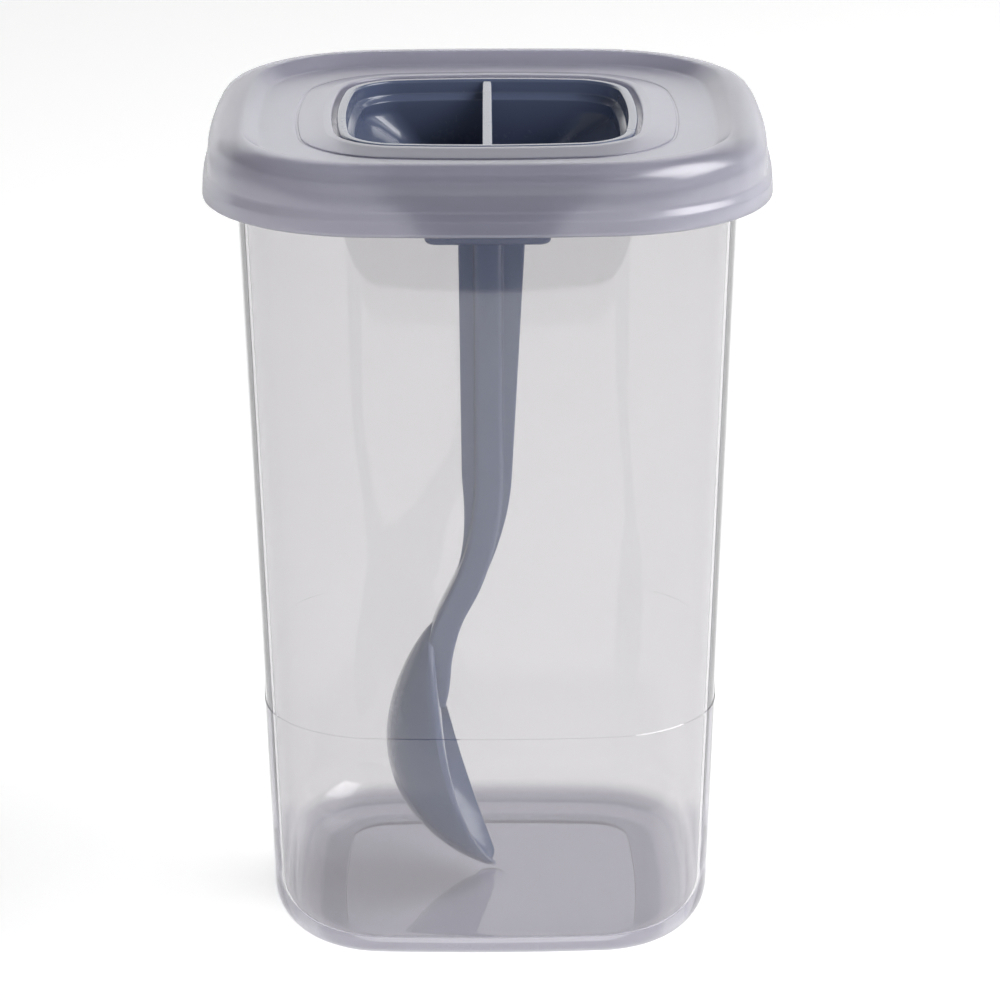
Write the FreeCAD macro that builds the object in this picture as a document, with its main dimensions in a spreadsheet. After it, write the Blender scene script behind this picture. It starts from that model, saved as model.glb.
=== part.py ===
import FreeCAD, Part
import math
import os

import Sketcher
from FreeCAD import Placement, Rotation, Vector

os.makedirs("parts", exist_ok=True)
doc = FreeCAD.newDocument("food_storage_box")

# Frame: millimetres, Z up, origin on the table under the middle of the box.
# The spoon's bowl opens to +X and the front of the box faces -Y.

sizes = {
    # Plan outline that the container and the lid share
    "rim_half": 36.9,          # outer half width of the wall at the rim
    "base_half": 32.85,        # outer half width of the wall run down to the table
    "foot_corner": 6.15,       # plan corner at the inner edge of the standing ring
    "side_radius": 250.0,      # gentle bulge of the four sides
    "weld": 0.4,               # how far a plate runs into the section swept round it

    # Container
    "container_height": 122.3,
    "container_wall": 1.4,
    "floor_thickness": 1.6,
    "base_rounding": 7.8,
    "foot_band": 2.7,          # width of the ring that it stands on
    "foot_lift": 0.8,          # rise of the base inside that ring
    "flange_width": 1.7,
    "flange_height": 1.5,
    "rim_bevel": 0.4,
    "gate_radius": 2.3,        # moulding mark under the base
    "gate_depth": 0.3,

    # Lid
    "lid_wall": 1.2,
    "lid_drop": 8.35,          # rim of the container down to the edge of the lip
    "lip_height": 3.4,
    "lip_flare": 0.95,         # how far the lip stands out of the skirt
    "lip_bevel": 0.35,
    "lip_blend": 1.1,
    "skirt_lean": 0.2,
    "shoulder_rounding": 2.8,
    "crest_rounding": 1.3,
    "lid_recess": 1.65,        # drop of the top panel below the crest
    "recess_inset": 0.478,     # foot of the recess inside the plug ring
    "recess_run": 2.3,
    "plug_depth": 5.2,         # ring that reaches into the container
    "plug_clearance": 0.35,
    "bead_clearance": 0.32,
    "bead_size": 0.43,         # how far the snap bead stands out of the skirt
    "bead_drop": 0.7,          # snap bead below the container's flange
    "edge_bevel": 0.25,

    # Opening in the lid
    "hole_half": 22.71,
    "hole_corner": 9.8,
    "hole_side": 115.0,        # bulge of its four sides
    "collar_width": 4.89,
    "collar_step": 0.15,
    "collar_rise": 0.7,
    "collar_flat": 1.25,

    # Stopper
    "stopper_gap": 0.72,       # between its rim and the opening
    "stopper_sink": 0.17,      # its rim below the collar
    "band_height": 4.1,
    "ledge_width": 1.13,
    "seat_clearance": 0.35,
    "band_wall": 1.45,
    "band_depth": 2.1,
    "step_drop": 0.7,
    "cup_wall": 1.5,
    "cup_depth": 12.4,
    "cup_floor_half": 9.9,
    "cup_floor_corner": 1.8,
    "ramp_start": 1.6,         # straight wall under the step before the ramps begin
    "web_thickness": 1.5,
    "web_sink": 0.2,
    "stopper_edge": 0.35,
    "boss_half": 9.35,
    "boss_depth_half": 3.2,
    "boss_drop": 5.77,
    "boss_edge": 0.9,

    # Spoon
    "tongue_half": 4.1,
    "tongue_length": 4.6,
    "tongue_clearance": 0.1,
    "core_width": 4.2,
    "core_depth": 5.0,
    "core_edge": 0.9,
    "bend_rise": 23.18,        # from the top of the bowl to where the handle is straight
    "neck_radius": 44.0,
    "neck_turn": 22.0,
    "neck_mid_width": 4.4,     # neck beside the top of the bowl
    "neck_mid_depth": 5.2,
    "neck_mid_shift": 2.0,     # its middle inside the line of the rim's top
    "neck_low_width": 4.0,     # neck where it lies on the bowl
    "neck_low_depth": 5.7,
    "neck_low_shift": 0.8,
    "neck_low_drop": 5.0,      # that place below the top of the bowl
    "neck_end_width": 1.9,     # where the neck has run out into the rim
    "neck_end_depth": 5.2,
    "neck_end_shift": 0.25,
    "neck_end_drop": 14.5,
    "fin_thickness": 1.4,
    "fin_left_top": 4.4,
    "fin_left_low": 4.1,
    "fin_right_top": 5.5,
    "fin_right_low": 3.45,
    "fin_fade": 16.0,          # length over which the fins run out
    "fin_blend": 60.0,
    "bowl_top": 43.0,
    "bowl_tip": 3.0,
    "bowl_half": 12.8,
    "bowl_depth": 10.0,
    "bowl_wall": 1.3,
    "bowl_rim_band": 1.4,
    "bowl_rim_top": 8.4,       # rim's offset to the handle's side at the neck
    "bowl_reach": 3.0,         # how far the hollow is cut past the rim
}

derived = {
    # Container
    "wall_draft": "(rim_half - base_half) / container_height",
    "rim_inner_half": "rim_half - container_wall",
    "floor_top": "foot_lift + floor_thickness",
    "floor_inner_half": "base_half + wall_draft * floor_top - container_wall",
    "inner_base_rounding": "base_rounding - container_wall",
    "flange_bottom": "container_height - flange_height",
    "flange_half": "rim_half + flange_width",
    "flange_root_half": "base_half + wall_draft * flange_bottom",
    "foot_inner_half": "base_half - base_rounding - foot_band",
    "corner_radius": "foot_corner + rim_half - foot_inner_half",
    "floor_weld_half": "foot_inner_half - weld",
    "floor_plate_half": "foot_inner_half - weld / 2",
    "floor_plate_corner": "corner_radius - rim_half + floor_plate_half",
    "floor_plate_side": "side_radius - rim_half + floor_plate_half",

    # Lid
    "lid_crest": "container_height + lid_wall",
    "lid_panel_top": "lid_crest - lid_recess",
    "lid_panel_bottom": "lid_panel_top - lid_wall",
    "lip_bottom": "container_height - lid_drop",
    "lip_top": "lip_bottom + lip_height",
    "lip_shoulder": "lip_bottom + 0.68 * lip_height",
    "bead_half": "flange_half + bead_clearance",
    "skirt_inner_half": "bead_half + bead_size",
    "skirt_foot_half": "skirt_inner_half + lid_wall",
    "skirt_half": "skirt_foot_half + skirt_lean",
    "lid_half": "skirt_foot_half + lip_flare",
    "lip_shoulder_half": "lid_half - 0.2 * lip_flare",
    "lip_inner_half": "lid_half - lid_wall",
    "lip_inner_top": "lip_top - lid_wall / 2",
    "lip_inner_bend": "lip_inner_top - lip_flare",
    "bead_middle": "flange_bottom - bead_drop",
    "bead_top": "bead_middle + bead_size",
    "bead_low": "bead_middle - 2 * bead_size",
    "plug_bottom": "container_height - plug_depth",
    "plug_outer_half": "base_half + wall_draft * plug_bottom - container_wall - plug_clearance",
    "plug_inner_half": "plug_outer_half - lid_wall",
    "recess_half": "plug_inner_half - recess_inset",
    "recess_top_half": "recess_half + recess_run",
    "panel_weld_half": "recess_half - weld",
    "panel_half": "recess_half - weld / 2",
    "panel_corner": "corner_radius - rim_half + panel_half",
    "panel_side": "side_radius - rim_half + panel_half",

    # Opening in the lid
    "collar_half": "hole_half + collar_width",
    "collar_top": "lid_panel_top + collar_rise",
    "collar_corner": "hole_corner + collar_width",
    "collar_side": "hole_side + collar_width",
    "collar_root": "lid_panel_top - lid_wall / 2",
    "collar_edge": "lid_panel_top + collar_step",
    "collar_flat_half": "hole_half + collar_flat",
    "collar_flat_corner": "hole_corner + collar_flat",
    "collar_flat_side": "hole_side + collar_flat",
    "sleeve_half": "hole_half + lid_wall",
    "sleeve_corner": "hole_corner + lid_wall",
    "sleeve_side": "hole_side + lid_wall",
    "sleeve_bottom": "seat_top - lid_wall",
    "sleeve_length": "lid_panel_bottom + lid_wall / 2 - sleeve_bottom",
    "hole_depth": "collar_top - seat_top",
    "seat_half": "cup_outer_half + seat_clearance",
    "seat_corner": "cup_outer_corner + seat_clearance",
    "seat_side": "cup_outer_side + seat_clearance",
    "seat_depth": "lid_wall * 2",

    # Stopper
    "stopper_half": "hole_half - stopper_gap",
    "stopper_corner": "hole_corner - stopper_gap",
    "stopper_side": "hole_side - stopper_gap",
    "stopper_top": "collar_top - stopper_sink",
    "seat_top": "stopper_top - band_height",
    "cup_outer_half": "stopper_half - ledge_width",
    "cup_outer_corner": "stopper_corner - ledge_width",
    "cup_outer_side": "stopper_side - ledge_width",
    "band_inner_half": "stopper_half - band_wall",
    "band_inner_corner": "stopper_corner - band_wall",
    "band_inner_side": "stopper_side - band_wall",
    "cup_inner_half": "cup_outer_half - cup_wall",
    "cup_inner_corner": "cup_outer_corner - cup_wall",
    "cup_inner_side": "cup_outer_side - cup_wall",
    "band_floor": "stopper_top - band_depth",
    "step_bottom": "band_floor - step_drop",
    "ramp_top": "step_bottom - ramp_start",
    "cup_floor": "stopper_top - cup_depth",
    "ramp_slope": "(ramp_top - cup_floor) / (cup_inner_half - cup_floor_half)",
    "ramp_wall": "cup_wall * sqrt(1 + ramp_slope * ramp_slope)",
    "cup_bottom": "cup_floor - cup_wall",
    "cup_bottom_half": "cup_floor_half + (ramp_wall - cup_wall) / ramp_slope",
    "cup_bottom_corner": "cup_floor_corner + cup_wall / 2",
    "ramp_outer_top": "ramp_top - ramp_wall + cup_wall * ramp_slope",
    "band_overlap": "seat_top + band_wall / 2",
    "web_top": "stopper_top - web_sink",
    "web_half": "(band_inner_half + cup_outer_half) / 2",
    "web_root": "cup_floor - cup_wall / 2",
    "boss_bottom": "cup_bottom - boss_drop",
    "boss_root": "cup_bottom + cup_wall / 2",
    "boss_depth": "2 * boss_depth_half",
    "boss_left": "-boss_half",
    "web_left": "-web_half",
    "cup_mouth": "stopper_top + 1",
    "slot_half": "tongue_half + tongue_clearance",
    "slot_left": "-slot_half",
    "slot_depth_half": "fin_thickness / 2 + tongue_clearance",
    "slot_front": "-slot_depth_half",
    "slot_height": "tongue_length + 4 * tongue_clearance",

    # Spoon
    "tongue_top": "boss_bottom + tongue_length",
    "tongue_root": "boss_bottom - 1",
    "tongue_left": "-tongue_half",
    "core_half": "core_width / 2",
    "core_depth_half": "core_depth / 2",
    "bend_start": "bowl_top + bend_rise",
    "neck_height": "bend_start - neck_radius * sin(neck_turn)",
    "neck_across": "neck_radius * (cos(neck_turn) - 1)",
    "neck_mid_half": "neck_mid_width / 2",
    "neck_mid_depth_half": "neck_mid_depth / 2",
    "neck_mid_across": "neck_mid_shift - bowl_rim_top",
    "neck_mid_height": "bowl_top",
    "neck_low_half": "neck_low_width / 2",
    "neck_low_depth_half": "neck_low_depth / 2",
    "neck_low_across": "neck_low_shift - bowl_rim_top",
    "neck_low_height": "bowl_top - neck_low_drop",
    "neck_end_half": "neck_end_width / 2",
    "neck_end_depth_half": "neck_end_depth / 2",
    "neck_end_across": "neck_end_shift - bowl_rim_top",
    "neck_end_height": "bowl_top - neck_end_drop",
    "neck_fade_half": "0.6 * neck_low_half + 0.4 * neck_end_half",
    "neck_fade_depth_half": "0.6 * neck_low_depth_half + 0.4 * neck_end_depth_half",
    "neck_fade_across": "0.6 * neck_low_across + 0.4 * neck_end_across",
    "neck_fade_height": "0.4 * neck_low_height + 0.6 * neck_end_height",
    "fin_root_left": "-fin_left_top",
    "fin_bend_left": "-fin_left_low",
    "fin_end": "bend_start - fin_fade",
    "neck_shift": "neck_radius - sqrt(neck_radius * neck_radius - fin_fade * fin_fade)",
    "fin_end_half": "core_half - neck_shift",
    "fin_end_left": "-core_half - neck_shift",
    "bowl_length": "bowl_top - bowl_tip",
}

# Sizes sheet: driving values first, then those worked out from them
sheet = doc.addObject("Spreadsheet::Sheet", "Sizes")
row = 0
for alias, number in sizes.items():
    row += 1
    sheet.set("A%d" % row, alias)
    sheet.set("B%d" % row, str(number))
    sheet.setAlias("B%d" % row, alias)
for alias, formula in derived.items():
    row += 1
    sheet.set("A%d" % row, alias)
    sheet.setAlias("B%d" % row, alias)
row -= len(derived)
for alias, formula in derived.items():
    row += 1
    sheet.set("B%d" % row, "=" + formula)
doc.recompute()


def size(alias):
    return float(sheet.get(alias))


def bind(thing, prop, formula):
    # a bare size name or a formula that already names the sheet
    text = formula if "Sizes." in formula else "Sizes." + formula
    thing.setExpression(prop, text)


def new_body(label):
    body = doc.addObject("PartDesign::Body", label)
    body.Label = label
    return body


def new_sketch(body, name, role, lift=None):
    planes = {feature.Role: feature for feature in body.Origin.OriginFeatures}
    sketch = body.newObject("Sketcher::SketchObject", name)
    sketch.AttachmentSupport = [(planes[role], "")]
    sketch.MapMode = "FlatFace"
    if lift:
        bind(sketch, "AttachmentOffset.Base.z", lift)
    sketch.Visibility = False
    return sketch


def constrain(sketch, kind, *args):
    return sketch.addConstraint(Sketcher.Constraint(kind, *args))


def dimension(sketch, kind, *args):
    # the last argument is the size that drives the dimension
    formula = args[-1]
    number = size(formula)
    index = sketch.addConstraint(Sketcher.Constraint(kind, *args[:-1], number))
    bind(sketch, "Constraints[%d]" % index, formula)


def pin(sketch, geo, spot, across, up):
    # places one point of the sketch by two sizes; None puts it on the axis
    if across is None:
        constrain(sketch, "PointOnObject", geo, spot, -2)
    else:
        dimension(sketch, "DistanceX", -1, 1, geo, spot, across)
    if up is None:
        constrain(sketch, "PointOnObject", geo, spot, -1)
    else:
        dimension(sketch, "DistanceY", -1, 1, geo, spot, up)


def arc(centre_x, centre_y, radius, begin, end):
    circle = Part.Circle(Vector(centre_x, centre_y, 0), Vector(0, 0, 1), radius)
    return Part.ArcOfCircle(circle, begin, end)


def bulged_box(sketch, half_x, half_y, corner, side, split=False):
    # four large side arcs and four corner arcs, tangent all round;
    # split breaks the +X side in its middle so that a sweep can start there
    side_r = size(side)
    corner_r = size(corner)
    reach_x = side_r - size(half_x)
    reach_y = side_r - size(half_y)
    across = size(half_x) - corner_r
    up = size(half_y) - corner_r
    for attempt in range(40):
        across = math.sqrt((side_r - corner_r) ** 2 - up ** 2) - reach_x
        up = math.sqrt((side_r - corner_r) ** 2 - across ** 2) - reach_y
    lean_x = math.atan2(up, across + reach_x)
    lean_y = math.atan2(across, up + reach_y)
    quarter = math.pi / 2
    pieces = [
        arc(-reach_x, 0, side_r, 0 if split else -lean_x, lean_x),
        arc(across, up, corner_r, lean_x, quarter - lean_y),
        arc(0, -reach_y, side_r, quarter - lean_y, quarter + lean_y),
        arc(-across, up, corner_r, quarter + lean_y, 2 * quarter - lean_x),
        arc(reach_x, 0, side_r, 2 * quarter - lean_x, 2 * quarter + lean_x),
        arc(-across, -up, corner_r, 2 * quarter + lean_x, 3 * quarter - lean_y),
        arc(0, reach_y, side_r, 3 * quarter - lean_y, 3 * quarter + lean_y),
        arc(across, -up, corner_r, 3 * quarter + lean_y, 4 * quarter - lean_x),
    ]
    if split:
        pieces.append(arc(-reach_x, 0, side_r, -lean_x, 0))
    ids = [sketch.addGeometry(piece, False) for piece in pieces]
    for here, ahead in zip(ids, ids[1:]):
        constrain(sketch, "Tangent", here, 2, ahead, 1)
    if split:
        constrain(sketch, "Coincident", ids[-1], 2, ids[0], 1)
        constrain(sketch, "Coincident", ids[-1], 3, ids[0], 3)
        constrain(sketch, "PointOnObject", ids[0], 1, -1)
    else:
        constrain(sketch, "Tangent", ids[-1], 2, ids[0], 1)
    for index in (2, 4, 6):
        constrain(sketch, "Equal", ids[0], ids[index])
        constrain(sketch, "Equal", ids[1], ids[index + 1])
    dimension(sketch, "Radius", ids[0], side)
    dimension(sketch, "Radius", ids[1], corner)
    for index, axis, reach, half in (
        (0, -1, reach_x, half_x),
        (2, -2, reach_y, half_y),
        (4, -1, reach_x, half_x),
        (6, -2, reach_y, half_y),
    ):
        constrain(sketch, "PointOnObject", ids[index], 3, axis)
        tie = constrain(sketch, "Distance", -1, 1, ids[index], 3, reach)
        bind(sketch, "Constraints[%d]" % tie, "Sizes.%s - Sizes.%s" % (side, half))


def opening_plan(body, name, family, height):
    # level outline of the opening's shape; the family names its half width, corner and side
    sketch = new_sketch(body, name, "XY_Plane", height)
    half = family + "_half"
    bulged_box(sketch, half, half, family + "_corner", family + "_side")
    return sketch


def rounded_box(sketch, half_x, half_y, corner):
    # rectangle about the origin with four equal rounded corners
    reach_x = size(half_x)
    reach_y = size(half_y)
    radius = size(corner)
    flat_x = reach_x - radius
    flat_y = reach_y - radius
    quarter = math.pi / 2
    spots = [(flat_x, flat_y), (-flat_x, flat_y), (-flat_x, -flat_y), (flat_x, -flat_y)]
    arcs = []
    for step, (across, up) in enumerate(spots):
        turn = arc(across, up, radius, step * quarter, (step + 1) * quarter)
        arcs.append(sketch.addGeometry(turn, False))
    lines = []
    for step in range(4):
        begin = sketch.getPoint(arcs[step], 2)
        end = sketch.getPoint(arcs[(step + 1) % 4], 1)
        lines.append(sketch.addGeometry(Part.LineSegment(begin, end), False))
    for step in range(4):
        constrain(sketch, "Tangent", arcs[step], 2, lines[step], 1)
        constrain(sketch, "Tangent", lines[step], 2, arcs[(step + 1) % 4], 1)
        constrain(sketch, "Horizontal" if step % 2 == 0 else "Vertical", lines[step])
    for step in range(1, 4):
        constrain(sketch, "Equal", arcs[0], arcs[step])
    dimension(sketch, "Radius", arcs[0], corner)
    dimension(sketch, "DistanceY", -1, 1, lines[0], 1, half_y)
    dimension(sketch, "DistanceX", lines[1], 1, -1, 1, half_x)
    dimension(sketch, "DistanceY", lines[2], 1, -1, 1, half_y)
    dimension(sketch, "DistanceX", -1, 1, lines[3], 1, half_x)


def profile(sketch, corners):
    # closed outline from corners given as sizes: across, up and the corner's treatment,
    # which is None, the radius of an arc, or the legs of a straight cut if it is a bevel
    points = []
    for across, up, blend in corners:
        points.append(Vector(size(across) if across else 0, size(up) if up else 0, 0))
    count = len(points)
    arrive = list(points)
    leave = list(points)
    centres = {}
    for index, (across, up, blend) in enumerate(corners):
        if not blend:
            continue
        back = (points[index - 1] - points[index]).normalize()
        ahead = (points[(index + 1) % count] - points[index]).normalize()
        half_angle = back.getAngle(ahead) / 2
        reach = size(blend)
        if not blend.endswith("bevel"):
            reach /= math.tan(half_angle)
            inward = (back + ahead).normalize()
            centres[index] = points[index] + inward * (size(blend) / math.sin(half_angle))
        arrive[index] = points[index] + back * reach
        leave[index] = points[index] + ahead * reach
    lines = []
    for index in range(count):
        segment = Part.LineSegment(leave[index], arrive[(index + 1) % count])
        lines.append(sketch.addGeometry(segment, False))
    for index, (across, up, blend) in enumerate(corners):
        before = lines[index - 1]
        after = lines[index]
        if not blend:
            constrain(sketch, "Coincident", before, 2, after, 1)
            pin(sketch, after, 1, across, up)
            continue
        corner = sketch.addGeometry(Part.Point(points[index]), True)
        pin(sketch, corner, 1, across, up)
        constrain(sketch, "PointOnObject", corner, 1, before)
        constrain(sketch, "PointOnObject", corner, 1, after)
        if blend.endswith("bevel"):
            cut = sketch.addGeometry(Part.LineSegment(arrive[index], leave[index]), False)
            constrain(sketch, "Coincident", before, 2, cut, 1)
            constrain(sketch, "Coincident", cut, 2, after, 1)
            dimension(sketch, "Distance", corner, 1, cut, 1, blend)
            dimension(sketch, "Distance", corner, 1, cut, 2, blend)
            continue
        centre = centres[index]
        begin = math.atan2(arrive[index].y - centre.y, arrive[index].x - centre.x)
        end = math.atan2(leave[index].y - centre.y, leave[index].x - centre.x)
        turned = (end - begin) % (2 * math.pi) > math.pi
        if turned:
            begin, end = end, begin
        curve = sketch.addGeometry(arc(centre.x, centre.y, size(blend), begin, end), False)
        constrain(sketch, "Tangent", before, 2, curve, 2 if turned else 1)
        constrain(sketch, "Tangent", curve, 1 if turned else 2, after, 1)
        dimension(sketch, "Radius", curve, blend)


def sweep(body, name, section, path):
    pipe = body.newObject("PartDesign::AdditivePipe", name)
    pipe.Profile = section
    pipe.Spine = path
    doc.recompute()
    return pipe


def pad(body, name, sketch, length, middle=False):
    feature = body.newObject("PartDesign::Pad", name)
    feature.Profile = sketch
    feature.Midplane = middle
    bind(feature, "Length", length)
    doc.recompute()
    return feature


def pocket(body, name, sketch, length, upward=False):
    before = body.Shape.Volume
    feature = body.newObject("PartDesign::Pocket", name)
    feature.Profile = sketch
    feature.Reversed = upward
    bind(feature, "Length", length)
    doc.recompute()
    if body.Shape.Volume > before - 0.01:
        raise ValueError(name + " cuts nothing")
    return feature


def loft(body, name, sketches, cuts=False, ruled=True):
    kind = "PartDesign::SubtractiveLoft" if cuts else "PartDesign::AdditiveLoft"
    feature = body.newObject(kind, name)
    feature.Profile = sketches[0]
    feature.Sections = sketches[1:]
    feature.Ruled = ruled
    doc.recompute()
    return feature


def bevel(body, name, reach, wanted):
    # breaks every edge of the body that the test picks
    base = body.Tip
    names = []
    for number, edge in enumerate(base.Shape.Edges, start=1):
        if wanted(edge):
            names.append("Edge%d" % number)
    feature = body.newObject("PartDesign::Chamfer", name)
    feature.Base = (base, names)
    bind(feature, "Size", reach)
    doc.recompute()
    return feature


def level(edge, height):
    low = edge.BoundBox.ZMin
    high = edge.BoundBox.ZMax
    return abs(low - height) < 0.01 and abs(high - height) < 0.01


# Container: one wall section swept round the plan, a floor plate and the moulding mark
container = new_body("container")
plan = new_sketch(container, "container_plan", "XY_Plane")
bulged_box(plan, "rim_half", "rim_half", "corner_radius", "side_radius", split=True)
section = new_sketch(container, "container_section", "XZ_Plane")
profile(section, [
    ("foot_inner_half", None, None),
    ("base_half", None, "base_rounding"),
    ("flange_root_half", "flange_bottom", "rim_bevel"),
    ("flange_half", "flange_bottom", "rim_bevel"),
    ("flange_half", "container_height", "rim_bevel"),
    ("rim_inner_half", "container_height", "rim_bevel"),
    ("floor_inner_half", "floor_top", "inner_base_rounding"),
    ("floor_weld_half", "floor_top", None),
    ("floor_weld_half", "foot_lift", None),
    ("foot_inner_half", "foot_lift", None),
])
doc.recompute()
sweep(container, "container_wall_sweep", section, plan)
plate = new_sketch(container, "floor_plan", "XY_Plane", "foot_lift")
bulged_box(plate, "floor_plate_half", "floor_plate_half", "floor_plate_corner", "floor_plate_side")
pad(container, "floor_plate", plate, "floor_thickness")
gate = new_sketch(container, "gate_circle", "XY_Plane", "foot_lift")
ring = gate.addGeometry(Part.Circle(Vector(0, 0, 0), Vector(0, 0, 1), size("gate_radius")), False)
constrain(gate, "Coincident", ring, 3, -1, 1)
dimension(gate, "Radius", ring, "gate_radius")
pocket(container, "gate_mark", gate, "gate_depth", upward=True)

# Lid: skirt, lip, crest and plug ring in one swept section
lid = new_body("lid")
plan = new_sketch(lid, "lid_plan", "XY_Plane")
bulged_box(plan, "rim_half", "rim_half", "corner_radius", "side_radius", split=True)
section = new_sketch(lid, "lid_section", "XZ_Plane")
profile(section, [
    ("lip_inner_half", "lip_bottom", "edge_bevel"),
    ("lid_half", "lip_bottom", "lip_bevel"),
    ("lip_shoulder_half", "lip_shoulder", "lip_bevel"),
    ("skirt_foot_half", "lip_top", "lip_blend"),
    ("skirt_half", "lid_crest", "shoulder_rounding"),
    ("recess_top_half", "lid_crest", "crest_rounding"),
    ("recess_half", "lid_panel_top", "crest_rounding"),
    ("panel_weld_half", "lid_panel_top", None),
    ("panel_weld_half", "lid_panel_bottom", None),
    ("plug_inner_half", "lid_panel_bottom", "edge_bevel"),
    ("plug_inner_half", "plug_bottom", "edge_bevel"),
    ("plug_outer_half", "plug_bottom", "edge_bevel"),
    ("plug_outer_half", "container_height", None),
    ("skirt_inner_half", "container_height", "edge_bevel"),
    ("skirt_inner_half", "bead_top", None),
    ("bead_half", "bead_middle", "edge_bevel"),
    ("skirt_inner_half", "bead_low", None),
    ("skirt_inner_half", "lip_inner_top", None),
    ("lip_inner_half", "lip_inner_bend", None),
])
doc.recompute()
sweep(lid, "lid_rim_sweep", section, plan)
panel = new_sketch(lid, "panel_plan", "XY_Plane", "lid_panel_bottom")
bulged_box(panel, "panel_half", "panel_half", "panel_corner", "panel_side")
pad(lid, "top_panel", panel, "lid_wall")
collar = []
for name, family, height in (
    ("collar_root_plan", "collar", "collar_root"),
    ("collar_edge_plan", "collar", "collar_edge"),
    ("collar_top_plan", "collar_flat", "collar_top"),
):
    collar.append(opening_plan(lid, name, family, height))
loft(lid, "collar", collar)
outline = opening_plan(lid, "sleeve_plan", "sleeve", "sleeve_bottom")
pad(lid, "sleeve", outline, "sleeve_length")
outline = opening_plan(lid, "hole_plan", "hole", "collar_top")
pocket(lid, "opening", outline, "hole_depth")
outline = opening_plan(lid, "seat_plan", "seat", "seat_top")
pocket(lid, "seat_opening", outline, "seat_depth")
bevel(lid, "opening_edge", "edge_bevel",
      lambda edge: level(edge, size("collar_top")) and edge.BoundBox.XMax < size("hole_half") + 0.1)

# Stopper: seating band, tapering cup with two finger ramps, web and boss
stopper = new_body("stopper")
outline = opening_plan(stopper, "band_plan", "stopper", "seat_top")
pad(stopper, "seating_band", outline, "band_height")
foot = new_sketch(stopper, "funnel_foot", "XY_Plane", "cup_bottom")
bulged_box(foot, "cup_bottom_half", "cup_outer_half", "cup_bottom_corner", "cup_outer_side")
knee = opening_plan(stopper, "funnel_knee", "cup_outer", "ramp_outer_top")
head = opening_plan(stopper, "funnel_head", "cup_outer", "band_overlap")
loft(stopper, "funnel", [foot, knee, head])
outline = new_sketch(stopper, "boss_outline", "XZ_Plane")
profile(outline, [
    ("boss_left", "boss_bottom", "boss_edge"),
    ("boss_half", "boss_bottom", "boss_edge"),
    ("boss_half", "boss_root", None),
    ("boss_left", "boss_root", None),
])
pad(stopper, "boss", outline, "boss_depth", middle=True)
cup = []
for name, family, height in (
    ("cup_mouth_plan", "band_inner", "cup_mouth"),
    ("band_floor_plan", "band_inner", "band_floor"),
    ("step_plan", "cup_inner", "step_bottom"),
    ("ramp_plan", "cup_inner", "ramp_top"),
):
    cup.append(opening_plan(stopper, name, family, height))
floor = new_sketch(stopper, "cup_floor_plan", "XY_Plane", "cup_floor")
bulged_box(floor, "cup_floor_half", "cup_inner_half", "cup_floor_corner", "cup_inner_side")
cup.append(floor)
loft(stopper, "cup", cup, cuts=True)
bevel(stopper, "rim_edges", "stopper_edge", lambda edge: level(edge, size("stopper_top")))
outline = new_sketch(stopper, "web_outline", "YZ_Plane")
profile(outline, [
    ("web_left", "web_root", None),
    ("web_half", "web_root", None),
    ("web_half", "web_top", None),
    ("web_left", "web_top", None),
])
pad(stopper, "web", outline, "web_thickness", middle=True)
outline = new_sketch(stopper, "slot_outline", "XY_Plane", "boss_bottom")
profile(outline, [
    ("slot_left", "slot_front", None),
    ("slot_half", "slot_front", None),
    ("slot_half", "slot_depth_half", None),
    ("slot_left", "slot_depth_half", None),
])
pocket(stopper, "spoon_slot", outline, "slot_height", upward=True)

# Spoon: round-cornered core swept along the bent handle, two fins, a tongue, a lofted bowl
spoon = new_body("spoon")
core = new_sketch(spoon, "core_section", "XY_Plane", "boss_bottom")
rounded_box(core, "core_half", "core_depth_half", "core_edge")
line = new_sketch(spoon, "handle_line", "XZ_Plane")
bend = math.radians(size("neck_turn"))
radius = size("neck_radius")
start = Vector(0, size("boss_bottom"), 0)
knee = Vector(0, size("bend_start"), 0)
upper = line.addGeometry(Part.LineSegment(start, knee), False)
curve = line.addGeometry(arc(-radius, knee.y, radius, -bend, 0), False)
pin(line, upper, 1, None, "boss_bottom")
pin(line, upper, 2, None, "bend_start")
constrain(line, "Tangent", upper, 2, curve, 2)
dimension(line, "Radius", curve, "neck_radius")
dimension(line, "DistanceY", -1, 1, curve, 1, "neck_height")
doc.recompute()
sweep(spoon, "handle_core", core, line)
neck_top = new_sketch(spoon, "neck_top_section", "XY_Plane", "neck_height")
neck_top.AttachmentOffset = Placement(Vector(0, 0, 0), Rotation(Vector(0, 1, 0), size("neck_turn")))
bind(neck_top, "AttachmentOffset.Base.x", "neck_across")
bind(neck_top, "AttachmentOffset.Rotation.Angle", "neck_turn")
rounded_box(neck_top, "core_half", "core_depth_half", "core_edge")
neck = [neck_top]
for place in ("neck_mid", "neck_low", "neck_fade", "neck_end"):
    level_cut = new_sketch(spoon, place + "_section", "XY_Plane", place + "_height")
    bind(level_cut, "AttachmentOffset.Base.x", place + "_across")
    rounded_box(level_cut, place + "_half", place + "_depth_half", "core_edge")
    neck.append(level_cut)
loft(spoon, "neck", neck, ruled=False)
outline = new_sketch(spoon, "fin_outline", "XZ_Plane")
profile(outline, [
    ("fin_end_left", "fin_end", None),
    ("fin_end_half", "fin_end", None),
    ("fin_right_low", "bend_start", "fin_blend"),
    ("fin_right_top", "boss_bottom", None),
    ("fin_root_left", "boss_bottom", None),
    ("fin_bend_left", "bend_start", "fin_blend"),
])
pad(spoon, "fins", outline, "fin_thickness", middle=True)
outline = new_sketch(spoon, "tongue_outline", "XZ_Plane")
profile(outline, [
    ("tongue_left", "tongue_root", None),
    ("tongue_half", "tongue_root", None),
    ("tongue_half", "tongue_top", None),
    ("tongue_left", "tongue_top", None),
])
pad(spoon, "tongue", outline, "fin_thickness", middle=True)


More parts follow.
